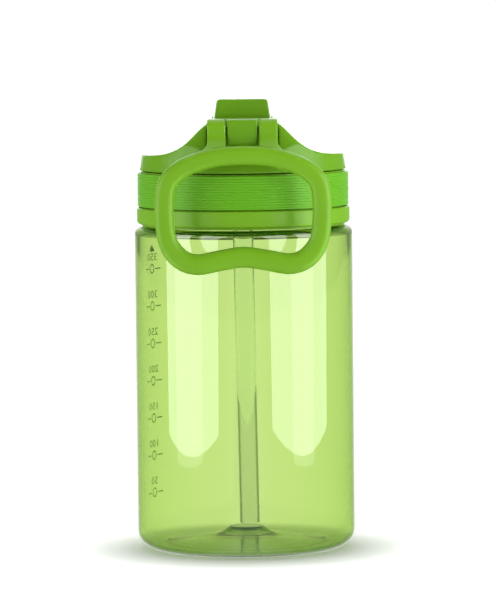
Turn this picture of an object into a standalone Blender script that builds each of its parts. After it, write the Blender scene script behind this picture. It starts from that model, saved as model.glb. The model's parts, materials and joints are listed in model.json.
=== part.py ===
"""Kids water bottle: clear ribbed-lid straw bottle with a swinging handle and a flip-up spout.

Lengths are in millimetres until a mesh is finished, and in metres in the scene. +Z is up and the
bottle stands on Z = 0. The handle hangs at -Y and the spout points to +Y when it lies down.
"""
import math

import bmesh
import bpy
from mathutils import Matrix, Vector

MM = 0.001
ROUND = 48

# Bottle
BODY_R = 37.0
WALL = 1.6
SHOULDER_Z = 109.6
SHOULDER_ROUND = 2.6
FOOT_ROUND = 6.4
NECK_R = 31.2
NECK_BORE_R = 29.4
NECK_TOP_Z = 124.5
PUNT_R = 9.2
BOSS_R = 5.9

# Screw thread shared by the neck and the lid
PITCH = 4.0
THREAD_TURNS = 1.25
THREAD_ROOT = 1.7
THREAD_CREST = 0.9
NECK_THREAD_Z = 115.0
NECK_CREST_R = 32.3
LID_THREAD_Z = NECK_THREAD_Z - PITCH / 2
LID_CREST_R = 31.8

# Lid
LID_BORE_R = 32.8
LID_SKIRT_Z = 110.5
SKIRT_LIP_R = LID_BORE_R + 1.6
LIP_Z = SHOULDER_Z + 0.35
BAND_R = 36.1
BAND_TOP_Z = 116.2
LID_WALL_R = 34.2
DECK_TOP_Z = 128.3
DECK = 1.2
GAP = 0.3
RIBS = 13
RING_R = 35.9
RING_ROOT_R = 35.55
RING_LOW_Z = 116.6
RING_TOP_Z = 127.9
DOME_R = 35.0
DOME_TOP_R = 34.2
DOME_LOW_Z = 128.6
RIM_Z = 134.0
HUMP_Z = 145.8
HUMP_HALF_W = 11.6
FLANK_TOP_Z = 145.1
HUMP_REAR_Y = -27.5
HUMP_FRONT_Y = 16.0
FLARE = 8.0
REAR_STEEPNESS = 2.6
FRONT_STEEPNESS = 1.3

# Spout, given about its own pivot
SPOUT_Y = -8.0
PIVOT_Z = 143.0
SPOUT_HALF_W = 9.5
SPOUT_TOP_HALF_W = 8.6
SPOUT_TOP = 9.8
SPOUT_REAR = -5.0
SPOUT_FRONT = 22.0
HUB_R = 5.2
BORE_R = 2.4
NIPPLE_R = 3.6
NIPPLE_END = 28.0
TIP_END = 34.0
CHANNEL_HALF_W = 9.9
CHANNEL_REAR_Y = -20.4
WELL_Z = 136.2
CHANNEL_Z = 137.6
SPOUT_PIN_R = 1.6

# Straw
STRAW_R = 3.4
STRAW_BORE_R = 2.8
STRAW_TOP = (-0.4, SPOUT_Y, 124.2)
STRAW_END = (1.2, -0.6, 8.3)

# Handle, given about its own pivot
HANDLE_Y = -32.5
HANDLE_Z = 143.2
EAR_IN = 5.6
EAR_OUT = 11.7
EAR_R = 3.6
EAR_FOOT = -9.8
EAR_SPREAD = 9.0
EAR_FILLET = (-3.6, -9.0)
BAR_DEPTH = 4.8
BAR_WIDTH = 6.4
BAR_SWELL = 0.09
BLOCK_TOP = 3.5
LOOP_OFFSET = -7.7
HANDLE_PIN_R = 1.3
BLOCK_HALF_W = 5.1
HANDLE_LOOP = [
    (0.0, -8.2), (8.2, -8.7), (14.7, -10.2), (20.4, -12.7), (24.6, -16.6), (26.0, -21.7),
    (26.0, -30.7), (24.6, -37.6), (20.6, -42.5), (15.3, -44.2), (8.0, -43.0), (0.0, -41.9),
]

# The bounding box, handle included, is centred on the origin
AXIS_Y = -(HANDLE_Y + LOOP_OFFSET - BAR_DEPTH / 2 + BODY_R) / 2


# ---------------------------------------------------------------- scene and mesh helpers

def clear_scene():
    for old in list(bpy.data.objects):
        bpy.data.objects.remove(old, do_unlink=True)


def material(name, color, roughness, alpha=1.0):
    mat = bpy.data.materials.new(name)
    mat.use_nodes = True
    shader = mat.node_tree.nodes["Principled BSDF"]
    shader.inputs["Base Color"].default_value = (*color, 1.0)
    shader.inputs["Roughness"].default_value = roughness
    shader.inputs["Metallic"].default_value = 0.0
    shader.inputs["Alpha"].default_value = alpha
    mat.diffuse_color = (*color, alpha)
    return mat


def empty(name, at=(0.0, 0.0, 0.0), parent=None):
    ob = bpy.data.objects.new(name, None)
    bpy.context.collection.objects.link(ob)
    ob.location = Vector(at) * MM
    ob.parent = parent
    return ob


def finish_mesh(name, bm, mat, parent, at=(0.0, 0.0, 0.0)):
    """Turns a bmesh in millimetres into an object in metres, its origin at `at` under its parent."""
    bmesh.ops.recalc_face_normals(bm, faces=bm.faces)
    bmesh.ops.scale(bm, vec=(MM, MM, MM), verts=bm.verts)
    mesh = bpy.data.meshes.new(name)
    bm.to_mesh(mesh)
    bm.free()
    mesh.shade_smooth()
    mesh.set_sharp_from_angle(angle=math.radians(35))
    ob = bpy.data.objects.new(name, mesh)
    bpy.context.collection.objects.link(ob)
    ob.data.materials.append(mat)
    ob.location = Vector(at) * MM
    ob.parent = parent
    return ob


def combine(target, tool, operation):
    """Adds an exact Boolean to target and hides the tool object."""
    tool.hide_render = True
    tool.display_type = "WIRE"
    mod = target.modifiers.new(tool.name, "BOOLEAN")
    mod.operation = operation
    mod.solver = "EXACT"
    mod.object = tool


def ease(t):
    """Smooth step from 0 to 1."""
    t = min(max(t, 0.0), 1.0)
    return t * t * (3 - 2 * t)


def arc(cx, cz, radius, start, end, steps):
    """Points of an arc from start to end, in degrees, ends included."""
    points = []
    for i in range(steps + 1):
        a = math.radians(start + (end - start) * i / steps)
        points.append((cx + radius * math.cos(a), cz + radius * math.sin(a)))
    return points


def lathe_mesh(profile, closed, segments=ROUND):
    """Turns (r, z) points about Z. An open profile starts and ends on the axis."""
    bm = bmesh.new()
    rings = []
    for r, z in profile:
        if r < 1e-6:
            rings.append([bm.verts.new((0.0, 0.0, z))])
            continue
        ring = []
        for i in range(segments):
            a = 2 * math.pi * i / segments
            ring.append(bm.verts.new((r * math.cos(a), r * math.sin(a), z)))
        rings.append(ring)
    count = len(rings)
    for k in range(count if closed else count - 1):
        low, high = rings[k], rings[(k + 1) % count]
        for i in range(segments):
            j = (i + 1) % segments
            corners = [low[i % len(low)], low[j % len(low)], high[j % len(high)], high[i % len(high)]]
            bm.faces.new(dict.fromkeys(corners))
    return bm


def lathe(name, profile, mat, parent, closed=True, segments=ROUND, at=(0.0, 0.0, 0.0)):
    return finish_mesh(name, lathe_mesh(profile, closed, segments), mat, parent, at)


def prism(name, outline, axis, low, high, mat, parent, at=(0.0, 0.0, 0.0)):
    """Extrudes an outline along X, given as (y, z), or along Y, given as (x, z)."""
    bm = bmesh.new()
    ends = []
    for level in (low, high):
        if axis == "X":
            ends.append([bm.verts.new((level, a, b)) for a, b in outline])
        else:
            ends.append([bm.verts.new((a, level, b)) for a, b in outline])
    count = len(outline)
    for i in range(count):
        j = (i + 1) % count
        bm.faces.new((ends[0][i], ends[0][j], ends[1][j], ends[1][i]))
    bm.faces.new(ends[0])
    bm.faces.new(ends[1])
    return finish_mesh(name, bm, mat, parent, at)


def box(name, low, high, mat, parent, at=(0.0, 0.0, 0.0)):
    outline = [(low[0], low[2]), (high[0], low[2]), (high[0], high[2]), (low[0], high[2])]
    return prism(name, outline, "Y", low[1], high[1], mat, parent, at)


def rod(name, axis, radius, low, high, mat, parent, segments=24, at=(0.0, 0.0, 0.0)):
    """A plain cylinder along X, Y or Z."""
    bm = lathe_mesh([(0.0, low), (radius, low), (radius, high), (0.0, high)], False, segments)
    bmesh.ops.rotate(bm, matrix=Matrix.Rotation(0.4 * math.pi / segments, 3, "Z"), verts=bm.verts)
    turn = {"X": Matrix.Rotation(math.pi / 2, 3, "Y"), "Y": Matrix.Rotation(-math.pi / 2, 3, "X")}
    if axis in turn:
        bmesh.ops.rotate(bm, matrix=turn[axis], verts=bm.verts)
    return finish_mesh(name, bm, mat, parent, at)


def thread(name, wall_r, crest_r, start_z, mat, parent):
    """A helical ridge of trapezoid section, rooted inside the wall, its ends run out to nothing."""
    bm = bmesh.new()
    steps = int(ROUND * THREAD_TURNS)
    inward = 1 if crest_r > wall_r else -1
    root_r = wall_r - 0.4 * inward
    rings = []
    for i in range(steps + 1):
        a = 2 * math.pi * (i + 0.4) / ROUND
        z = start_z + PITCH * i / ROUND
        rise = min(1.0, i / 6, (steps - i) / 6)
        tip_r = wall_r - 0.1 * inward + (crest_r - wall_r + 0.1 * inward) * rise
        ring = []
        for r, dz in ((root_r, -THREAD_ROOT / 2), (tip_r, -THREAD_CREST / 2),
                      (tip_r, THREAD_CREST / 2), (root_r, THREAD_ROOT / 2)):
            ring.append(bm.verts.new((r * math.cos(a), r * math.sin(a), z + dz)))
        rings.append(ring)
    for ring, after in zip(rings, rings[1:]):
        for k in range(4):
            m = (k + 1) % 4
            bm.faces.new((ring[k], ring[m], after[m], after[k]))
    bm.faces.new(rings[0])
    bm.faces.new(rings[-1])
    return finish_mesh(name, bm, mat, parent)


def smooth_path(points, steps):
    """A closed Catmull-Rom curve through the points."""
    path = []
    count = len(points)
    for i in range(count):
        p0, p1, p2, p3 = (Vector(points[(i + k) % count]) for k in (-1, 0, 1, 2))
        for s in range(steps):
            t = s / steps
            a = 2 * p1
            b = p2 - p0
            c = 2 * p0 - 5 * p1 + 4 * p2 - p3
            d = 3 * p1 - p0 - 3 * p2 + p3
            path.append((a + b * t + c * t ** 2 + d * t ** 3) / 2)
    return path


def rounded_section(width, depth, radius, steps=2):
    """Corners of a rounded rectangle, as (across, along) pairs."""
    x, y = width / 2 - radius, depth / 2 - radius
    section = []
    for cx, cy, start in ((x, y, 0), (-x, y, 90), (-x, -y, 180), (x, -y, 270)):
        section += arc(cx, cy, radius, start, start + 90, steps)
    return section


# ---------------------------------------------------------------- pieces

def bottle_body(mat, parent):
    """Clear bottle: a wide neck, a square shoulder, straight walls and a domed foot with a boss."""
    inner = BODY_R - WALL
    profile = [(0.0, 5.0), (BOSS_R - 1.2, 5.0), (PUNT_R - 0.8, 3.3), (26.5, 0.4), (27.8, 0.0), (30.0, 0.0)]
    profile += arc(BODY_R - FOOT_ROUND, FOOT_ROUND, FOOT_ROUND, -80, 0, 5)
    side_z = SHOULDER_Z - SHOULDER_ROUND
    profile += arc(BODY_R - SHOULDER_ROUND, side_z, SHOULDER_ROUND, 0, 90, 4)
    profile += [(NECK_R, SHOULDER_Z), (NECK_R, NECK_TOP_Z - 0.5), (NECK_R - 0.5, NECK_TOP_Z)]
    profile += [(NECK_BORE_R + 0.5, NECK_TOP_Z), (NECK_BORE_R, NECK_TOP_Z - 0.5)]
    profile += [(NECK_BORE_R, SHOULDER_Z - WALL + 0.4), (NECK_BORE_R + 0.6, SHOULDER_Z - WALL)]
    profile += arc(inner - 1.4, side_z - 0.4, 1.4, 90, 0, 3)
    profile += arc(BODY_R - FOOT_ROUND, FOOT_ROUND, FOOT_ROUND - WALL, 0, -80, 4) + [(26.5, 2.1)]
    profile += [(PUNT_R + 0.8, 4.7), (BOSS_R + 1.6, 5.6), (BOSS_R - 0.2, 6.8), (BOSS_R - 0.7, 7.0), (0.0, 7.0)]
    ob = lathe("bottle_body", profile, mat, parent, closed=False)
    ridge = thread("tool_neck_thread", NECK_R, NECK_CREST_R, NECK_THREAD_Z, mat, parent)
    combine(ob, ridge, "UNION")
    return ob


def lid_cap(mat, parent):
    """Threaded cap: the plain lower band, the wall behind the grip ring and the deck."""
    deck_low = DECK_TOP_Z - DECK
    profile = [(0.0, DECK_TOP_Z), (LID_WALL_R, DECK_TOP_Z), (LID_WALL_R, BAND_TOP_Z)]
    profile += arc(BAND_R - 0.8, BAND_TOP_Z - 0.8, 0.8, 90, 0, 3)
    profile += arc(BAND_R - 1.2, LID_SKIRT_Z + 1.2, 1.2, 0, -90, 3)
    profile += [(SKIRT_LIP_R, LID_SKIRT_Z), (SKIRT_LIP_R, LIP_Z)]
    profile += [(LID_BORE_R + 0.4, LIP_Z), (LID_BORE_R, LIP_Z + 0.4)]
    profile += [(LID_BORE_R, deck_low), (0.0, deck_low)]
    ob = lathe("lid_cap", profile, mat, parent, closed=False)
    ridge = thread("tool_lid_thread", LID_BORE_R, LID_CREST_R, LID_THREAD_Z, mat, parent)
    combine(ob, ridge, "UNION")
    port = rod("tool_deck_port", "Z", 3.4, deck_low - 1, DECK_TOP_Z + 1, mat, parent, at=(0, SPOUT_Y, 0))
    combine(ob, port, "DIFFERENCE")
    vent = rod("tool_vent_hole", "Z", 1.6, deck_low - 1, DECK_TOP_Z + 1, mat, parent, at=(0, 14, 0))
    combine(ob, vent, "DIFFERENCE")
    return ob


def grip_ring(mat, parent):
    """Ribbed ring around the lid, with a fine horizontal rib for each pitch."""
    pitch = (RING_TOP_Z - RING_LOW_Z) / RIBS
    profile = [(LID_WALL_R + GAP, RING_TOP_Z), (LID_WALL_R + GAP, RING_LOW_Z)]
    for i in range(RIBS):
        z = RING_LOW_Z + pitch * i
        profile += [(RING_ROOT_R, z), (RING_R, z + pitch / 2)]
    profile.append((RING_ROOT_R, RING_TOP_Z))
    return lathe("grip_ring", profile, mat, parent)


def lid_seal(mat, parent):
    """Flat silicone gasket between the neck's lip and the lid's deck."""
    low = NECK_TOP_Z + GAP
    high = DECK_TOP_Z - DECK - GAP
    inner, outer = NECK_BORE_R - 0.1, NECK_R + 0.8
    profile = [(inner, low), (outer, low), (outer, high), (inner, high)]
    return lathe("lid_seal", profile, mat, parent)


def flank(distance, top=FLANK_TOP_Z):
    """Height of the hump's concave flank at a distance outside its plateau."""
    return RIM_Z + (top - RIM_Z) * math.exp(-(distance / FLARE) ** 1.5)


def dome_side_outline():
    """Half-width against height of the lid's top, seen along Y."""
    spread = [0.0, 1.0, 2.2, 3.6, 5.4, 7.6, 10.4, 14.0, 18.5, 24.0]
    right = [(HUMP_HALF_W - 0.7, HUMP_Z)]
    right += [(HUMP_HALF_W + d, flank(d)) for d in spread]
    left = [(-x, z) for x, z in reversed(right)]
    floor_z = DOME_LOW_Z
    return right + [(HUMP_HALF_W + 24.0, floor_z), (-HUMP_HALF_W - 24.0, floor_z)] + left


def dome_length_outline():
    """Height of the lid's top from rear to front, seen along X."""
    rear = [(HUMP_REAR_Y - d, flank(d * REAR_STEEPNESS)) for d in (9.5, 7.5, 5.5, 4.0, 2.6, 1.4, 0.5)]
    front_top = HUMP_Z - 0.7
    spread = (0.0, 1.5, 3.2, 5.4, 8.2, 12.0, 21.0)
    front = [(HUMP_FRONT_Y + d, flank(d * FRONT_STEEPNESS, front_top)) for d in spread]
    top = [(HUMP_REAR_Y, HUMP_Z), (HUMP_FRONT_Y - 1.0, HUMP_Z)]
    return rear + top + front + [(37.0, DOME_LOW_Z - 1), (-37.0, DOME_LOW_Z - 1)]


def dome_cutters(mat, parent):
    """Hollows of the dome: its inside, the spout's channel and well, and the ears' pockets."""
    inside = [(0.0, DOME_LOW_Z - 1), (33.3, DOME_LOW_Z - 1), (33.0, 131.0), (32.6, 131.4), (0.0, 131.4)]
    tools = [lathe("tool_inside", inside, mat, parent, closed=False)]
    for side in (-1, 1):
        hollow = [(12.6, 130.5), (12.6, 140.2), (14.4, 138.0), (17.6, 135.0), (22.0, 132.2), (22.0, 130.5)]
        hollow = [(side * x, z) for x, z in hollow]
        tools.append(prism(f"tool_flank_{side}", hollow, "Y", -22.0, 14.0, mat, parent))
        pocket = [sorted((side * 5.35, side * 12.0)), (-40.0, HUMP_REAR_Y), (134.6, 160.0)]
        low, high = zip(*pocket)
        tools.append(box(f"tool_ear_pocket_{side}", low, high, mat, parent))
    wide = CHANNEL_HALF_W
    tools.append(box("tool_rear_hollow", (-11, -25.6, 130.5), (11, -22.2, 141.0), mat, parent))
    tools.append(box("tool_well", (-wide, CHANNEL_REAR_Y, WELL_Z), (wide, -1.0, 160), mat, parent))
    tools.append(box("tool_channel", (-wide, -1.5, CHANNEL_Z), (wide, 40.0, 160), mat, parent))
    tools.append(rod("tool_seal_hole", "Z", 5.3, 128.0, 139.0, mat, parent, at=(0, SPOUT_Y, 0)))
    for side in (-1, 1):
        hole_at = (0, SPOUT_Y, PIVOT_Z)
        ends = sorted((side * 9.0, side * 14.0))
        tools.append(rod(f"tool_spout_pin_{side}", "X", SPOUT_PIN_R + GAP, *ends, mat, parent, at=hole_at))
    return tools


def lid_dome(mat, parent):
    """Top shell: a low rim with a swept hump that carries the spout and the handle's hinge block."""
    ob = prism("lid_dome", dome_side_outline(), "Y", -36.0, 36.0, mat, parent)
    length = prism("tool_dome_length", dome_length_outline(), "X", -40.0, 40.0, mat, parent)
    combine(ob, length, "INTERSECT")
    wall = [(0.0, DOME_LOW_Z), (DOME_R - 0.3, DOME_LOW_Z), (DOME_R, DOME_LOW_Z + 0.3)]
    wall += [(DOME_TOP_R, RIM_Z), (DOME_TOP_R - 0.6, 160.0), (0.0, 160.0)]
    outside = lathe("tool_dome_wall", wall, mat, parent, closed=False)
    combine(ob, outside, "INTERSECT")
    for tool in dome_cutters(mat, parent):
        combine(ob, tool, "DIFFERENCE")
    block_rear = HANDLE_Y - 2.8
    block_top = HANDLE_Z + BLOCK_TOP
    block = [(HUMP_REAR_Y + 2.5, HUMP_Z - 1.5), (HUMP_REAR_Y + 2.5, 136.5), (block_rear + 0.6, 137.4)]
    block += [(block_rear, 138.2), (block_rear, block_top - 0.8), (block_rear + 0.8, block_top)]
    block += [(HANDLE_Y + 1.2, block_top), (HUMP_REAR_Y, HUMP_Z - 0.1)]
    hinge = prism("tool_hinge_block", block, "X", -BLOCK_HALF_W, BLOCK_HALF_W, mat, parent)
    combine(ob, hinge, "UNION")
    bore = rod("tool_handle_bore", "X", HANDLE_PIN_R + GAP, -8, 8, mat, parent, at=(0, HANDLE_Y, HANDLE_Z))
    combine(ob, bore, "DIFFERENCE")
    return ob


def handle_loop(mat, parent, pivot):
    """The closed loop, swept with a rounded section along a curve that mirrors across X."""
    left = [(-x, z) for x, z in reversed(HANDLE_LOOP[1:-1])]
    path = smooth_path(HANDLE_LOOP + left, 3)
    section = rounded_section(BAR_WIDTH, BAR_DEPTH, 1.9)
    bm = bmesh.new()
    rings = []
    for i, point in enumerate(path):
        along = (path[(i + 1) % len(path)] - path[i - 1]).normalized()
        across = Vector((-along.y, along.x))
        ring = []
        swell = 1.0 + BAR_SWELL * ease((-point.y - 36.0) / 5.0)
        for a, b in section:
            spot = point + across * a * swell
            ring.append(bm.verts.new((spot.x, LOOP_OFFSET + b, spot.y)))
        rings.append(ring)
    for i, ring in enumerate(rings):
        after = rings[(i + 1) % len(rings)]
        for k in range(len(ring)):
            m = (k + 1) % len(ring)
            bm.faces.new((ring[k], ring[m], after[m], after[k]))
    return finish_mesh("handle", bm, mat, parent, pivot)


def ear_faces(z):
    """Inner and outer Y of an ear at a height, from the barrel's top to the loop's plane."""
    half = BAR_DEPTH / 2 - 0.1
    if z > 0:
        reach = math.sqrt(EAR_R ** 2 - z ** 2)
        return reach, -reach
    inner = EAR_R + (LOOP_OFFSET + half - EAR_R) * ease((-z - 0.6) / 7.6)
    outer = -EAR_R + (LOOP_OFFSET - half + EAR_R) * ease(-z / (-EAR_FOOT - 0.8))
    return inner, outer


def ear(name, side, mat, parent, pivot):
    """One ear, lofted from its round top down to the loop, with a fillet on its outer side."""
    levels = [EAR_R * math.sin(math.radians(a)) for a in (76, 58, 40, 20)]
    levels += [EAR_FOOT * i / 12 for i in range(13)]
    start, end = EAR_FILLET
    bm = bmesh.new()
    rings = []
    for z in levels:
        inner, outer = ear_faces(z)
        curve = min(max((z - start) / (end - start), 0.0), 0.97)
        far = EAR_OUT + EAR_SPREAD * (1 - math.sqrt(1 - curve ** 2))
        spots = [(EAR_IN, inner), (far, inner), (far, outer), (EAR_IN, outer)]
        rings.append([bm.verts.new((side * x, y, z)) for x, y in spots])
    for ring, after in zip(rings, rings[1:]):
        for k in range(4):
            m = (k + 1) % 4
            bm.faces.new((ring[k], ring[m], after[m], after[k]))
    bm.faces.new(rings[0])
    bm.faces.new(rings[-1])
    return finish_mesh(name, bm, mat, parent, pivot)


def handle(mat, parent):
    """Carrying handle: a loop with two ears that turn on the hinge pin. Origin on the pin's axis."""
    pivot = (0.0, HANDLE_Y, HANDLE_Z)
    ob = handle_loop(mat, parent, pivot)
    for side, name in ((-1, "left"), (1, "right")):
        combine(ob, ear(f"tool_ear_{name}", side, mat, parent, pivot), "UNION")
    bore = rod("tool_ear_bore", "X", HANDLE_PIN_R + GAP, -14, 14, mat, parent, at=pivot)
    combine(ob, bore, "DIFFERENCE")
    return ob


def handle_pin(mat, parent):
    return rod("handle_pin", "X", HANDLE_PIN_R, -EAR_OUT + 0.2, EAR_OUT - 0.2, mat, parent, 16,
               (0.0, HANDLE_Y, HANDLE_Z))


def spout(mat, parent):
    """Flip-up spout with a bore along it, a hub at its pivot and a nipple for the mouthpiece."""
    pivot = (0.0, SPOUT_Y, PIVOT_Z)
    side = [(SPOUT_REAR, 0.5), (SPOUT_REAR, SPOUT_TOP)]
    side += [(14.0, SPOUT_TOP)] + arc(14.0, SPOUT_TOP - 6.0, 6.0, 70, 30, 2)
    side += [(SPOUT_FRONT, 4.4), (SPOUT_FRONT, -4.0), (4.0, -4.0)]
    side += arc(0.0, 0.0, HUB_R, -62, -164, 6)
    ob = prism("spout", side, "X", -SPOUT_HALF_W, SPOUT_HALF_W, mat, parent, pivot)
    taper = [(-SPOUT_HALF_W, -8.0), (SPOUT_HALF_W, -8.0), (SPOUT_HALF_W, 2.9)]
    taper += arc(SPOUT_TOP_HALF_W - 1.0, SPOUT_TOP - 1.0, 1.0, 6, 90, 3)
    taper += arc(-SPOUT_TOP_HALF_W + 1.0, SPOUT_TOP - 1.0, 1.0, 90, 174, 3)
    taper += [(-SPOUT_HALF_W, 2.9)]
    front = prism("tool_spout_taper", taper, "Y", -12.0, 40.0, mat, parent, pivot)
    combine(ob, front, "INTERSECT")
    nipple = rod("tool_nipple", "Y", NIPPLE_R, 18.0, NIPPLE_END, mat, parent, 24, pivot)
    combine(ob, nipple, "UNION")
    bore = rod("tool_spout_bore", "Y", BORE_R, -10.0, 40.0, mat, parent, 24, pivot)
    combine(ob, bore, "DIFFERENCE")
    for end in (-1, 1):
        ends = sorted((end * 6.0, end * 12.0))
        hole = rod(f"tool_pin_socket_{end}", "X", SPOUT_PIN_R + GAP, *ends, mat, parent, 24, pivot)
        combine(ob, hole, "DIFFERENCE")
    return ob


def mouthpiece(mat, parent):
    """Soft oval tip pushed over the spout's nipple."""
    pivot = (0.0, SPOUT_Y, PIVOT_Z)
    low = SPOUT_FRONT + GAP
    profile = [(0.0, low), (4.5, low), (4.7, low + 0.6), (4.5, 27.0), (3.9, 30.0), (3.6, 32.0)]
    profile += arc(2.6, TIP_END - 1.0, 1.0, 30, 90, 2) + [(0.0, TIP_END)]
    bm = lathe_mesh(profile, False, 24)
    bmesh.ops.rotate(bm, matrix=Matrix.Rotation(-math.pi / 2, 3, "X"), verts=bm.verts)
    bmesh.ops.scale(bm, vec=(1.45, 1.0, 1.0), verts=bm.verts)
    ob = finish_mesh("mouthpiece", bm, mat, parent, pivot)
    hollow = [(0.0, low - 1), (NIPPLE_R + GAP, low - 1), (NIPPLE_R + GAP, NIPPLE_END + GAP)]
    hollow += [(1.6, NIPPLE_END + 0.9), (1.6, TIP_END + 1), (0.0, TIP_END + 1)]
    bm = lathe_mesh(hollow, False, 24)
    bmesh.ops.rotate(bm, matrix=Matrix.Rotation(-math.pi / 2, 3, "X"), verts=bm.verts)
    cutter = finish_mesh("tool_tip_bore", bm, mat, parent, pivot)
    combine(ob, cutter, "DIFFERENCE")
    return ob


def spout_pins(mat, parent):
    """Two stub axles that hold the spout between the hump's side walls."""
    for side, name in ((-1, "left"), (1, "right")):
        ends = sorted((side * 6.4, side * 11.4))
        rod(f"spout_pin_{name}", "X", SPOUT_PIN_R, *ends, mat, parent, 16, (0.0, SPOUT_Y, PIVOT_Z))


def spout_seal(mat, parent):
    """Silicone bush that leads from the deck up to the spout's hub."""
    high = PIVOT_Z - HUB_R - GAP - 0.1
    profile = [(BORE_R, DOME_LOW_Z), (6.6, DOME_LOW_Z), (6.6, DOME_LOW_Z + 1.2), (5.0, DOME_LOW_Z + 1.2)]
    profile += [(5.0, high - 0.5), (4.5, high), (BORE_R + 0.4, high), (BORE_R, high - 0.4)]
    return lathe("spout_seal", profile, mat, parent, segments=24, at=(0, SPOUT_Y, 0))


def straw_pieces(socket_mat, straw_mat, parent):
    """The straw and the socket that holds it, on one slightly leaning axis."""
    top, end = Vector(STRAW_TOP), Vector(STRAW_END)
    lean = Vector((0, 0, 1)).rotation_difference(top - end)
    length = (top - end).length
    tube = [(STRAW_BORE_R, -length), (STRAW_R, -length), (STRAW_R, 0.0), (STRAW_BORE_R, 0.0)]
    straw = lathe("straw", tube, straw_mat, parent, segments=20, at=STRAW_TOP)
    cup = [(STRAW_R + GAP, -8.0), (5.0, -8.0), (5.0, 1.0), (6.6, 1.0), (6.6, 2.1)]
    cup += [(BORE_R, 2.1), (BORE_R, GAP), (STRAW_R + GAP, GAP)]
    socket = lathe("straw_socket", cup, socket_mat, parent, segments=24, at=STRAW_TOP)
    for ob in (straw, socket):
        ob.rotation_mode = "QUATERNION"
        ob.rotation_quaternion = lean


def vent_valve(mat, parent):
    """Umbrella valve in the deck that lets air in as the child drinks."""
    low, high = DECK_TOP_Z - DECK - GAP, DECK_TOP_Z + GAP
    profile = [(0.0, low - 1.6), (1.4, low - 1.4), (2.3, low), (1.2, low), (1.2, high)]
    profile += [(4.0, high), (3.8, high + 0.4), (2.0, high + 0.9), (0.0, high + 1.0)]
    return lathe("vent_valve", profile, mat, parent, closed=False, segments=24, at=(0, 14, 0))


def build():
    clear_scene()
    clear = material("clear_green", (0.45, 0.72, 0.16), 0.06, 0.45)
    hard = material("lid_green", (0.24, 0.46, 0.045), 0.34)
    ring = material("ring_green", (0.17, 0.50, 0.02), 0.42)
    soft = material("silicone_white", (0.80, 0.82, 0.78), 0.55)
    tip = material("silicone_green", (0.45, 0.68, 0.22), 0.5)
    axis = empty("bottle_axis", (0.0, AXIS_Y, 0.0))
    bottle_body(clear, axis)
    lid_axis = empty("lid_axis", parent=axis)
    lid_cap(hard, lid_axis)
    grip_ring(ring, lid_axis)
    lid_dome(hard, lid_axis)
    lid_seal(soft, lid_axis)
    handle(hard, lid_axis)
    handle_pin(hard, lid_axis)
    spout(hard, lid_axis)
    mouthpiece(tip, lid_axis)
    spout_pins(hard, lid_axis)
    spout_seal(soft, lid_axis)
    straw_pieces(soft, clear, lid_axis)
    vent_valve(soft, lid_axis)


build()
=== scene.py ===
import json
import math

import bmesh
import bpy
from mathutils import Matrix, Vector

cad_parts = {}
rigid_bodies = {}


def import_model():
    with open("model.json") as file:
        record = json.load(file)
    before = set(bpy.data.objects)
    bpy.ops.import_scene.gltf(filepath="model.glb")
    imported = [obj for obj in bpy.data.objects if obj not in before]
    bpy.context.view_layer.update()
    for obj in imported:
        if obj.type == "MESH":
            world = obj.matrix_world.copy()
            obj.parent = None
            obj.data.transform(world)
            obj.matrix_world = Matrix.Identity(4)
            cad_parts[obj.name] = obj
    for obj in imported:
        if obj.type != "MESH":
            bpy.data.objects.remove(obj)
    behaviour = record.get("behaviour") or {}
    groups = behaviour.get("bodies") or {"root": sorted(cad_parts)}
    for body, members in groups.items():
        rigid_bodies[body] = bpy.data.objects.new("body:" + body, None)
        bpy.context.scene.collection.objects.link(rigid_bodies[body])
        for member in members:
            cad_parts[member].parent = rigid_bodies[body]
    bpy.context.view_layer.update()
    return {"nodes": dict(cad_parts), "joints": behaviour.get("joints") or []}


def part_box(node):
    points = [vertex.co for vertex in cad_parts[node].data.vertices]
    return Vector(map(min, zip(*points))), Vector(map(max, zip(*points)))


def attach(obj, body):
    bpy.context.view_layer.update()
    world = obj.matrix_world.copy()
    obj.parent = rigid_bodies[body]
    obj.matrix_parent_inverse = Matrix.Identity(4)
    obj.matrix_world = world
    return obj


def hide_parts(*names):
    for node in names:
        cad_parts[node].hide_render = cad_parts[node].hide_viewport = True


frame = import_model()

MM = 0.001


# ---------------------------------------------------------------- driving dimensions, from the frame

def node_mm(name):
    """Lowest and highest corner of a CAD node, in millimetres."""
    low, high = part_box(name)
    return low / MM, high / MM


BODY_LOW, BODY_HIGH = node_mm("bottle_body")
CAP_LOW, CAP_HIGH = node_mm("lid_cap")
RING_LOW, RING_HIGH = node_mm("grip_ring")
DOME_LOW, DOME_HIGH = node_mm("lid_dome")
JOINTS = {joint["name"]: joint for joint in frame["joints"]}
AXIS_Y = (BODY_LOW.y + BODY_HIGH.y) / 2
BODY_R = (BODY_HIGH.x - BODY_LOW.x) / 2
NECK_TOP_Z = BODY_HIGH.z
BAND_R = (CAP_HIGH.x - CAP_LOW.x) / 2
DECK_TOP_Z = CAP_HIGH.z
RING_R = (RING_HIGH.x - RING_LOW.x) / 2
DOME_R = (DOME_HIGH.x - DOME_LOW.x) / 2
HUMP_Z = DOME_HIGH.z
HANDLE_PIVOT = Vector(JOINTS["handle_swing"]["pos_m"]) / MM
SPOUT_PIVOT = Vector(JOINTS["spout_flip"]["pos_m"]) / MM
SPOUT_TOP = node_mm("spout")[1].z - SPOUT_PIVOT.z

WALL = 1.6
FOOT_ROUND = 6.4
SHOULDER_ROUND = 2.6
SHOULDER_Z = 109.6
NECK_R = 31.2
NECK_BORE_R = 29.4
LID_BORE_R = 32.8
SKIRT_Z = 110.5
RIM_Z = 134.0
ROUND = 256


# ---------------------------------------------------------------- mesh helpers, in millimetres

def arc(cx, cz, radius, start, end, steps):
    """Points of an arc from start to end, in degrees, ends included."""
    points = []
    for i in range(steps + 1):
        a = math.radians(start + (end - start) * i / steps)
        points.append((cx + radius * math.cos(a), cz + radius * math.sin(a)))
    return points


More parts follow.
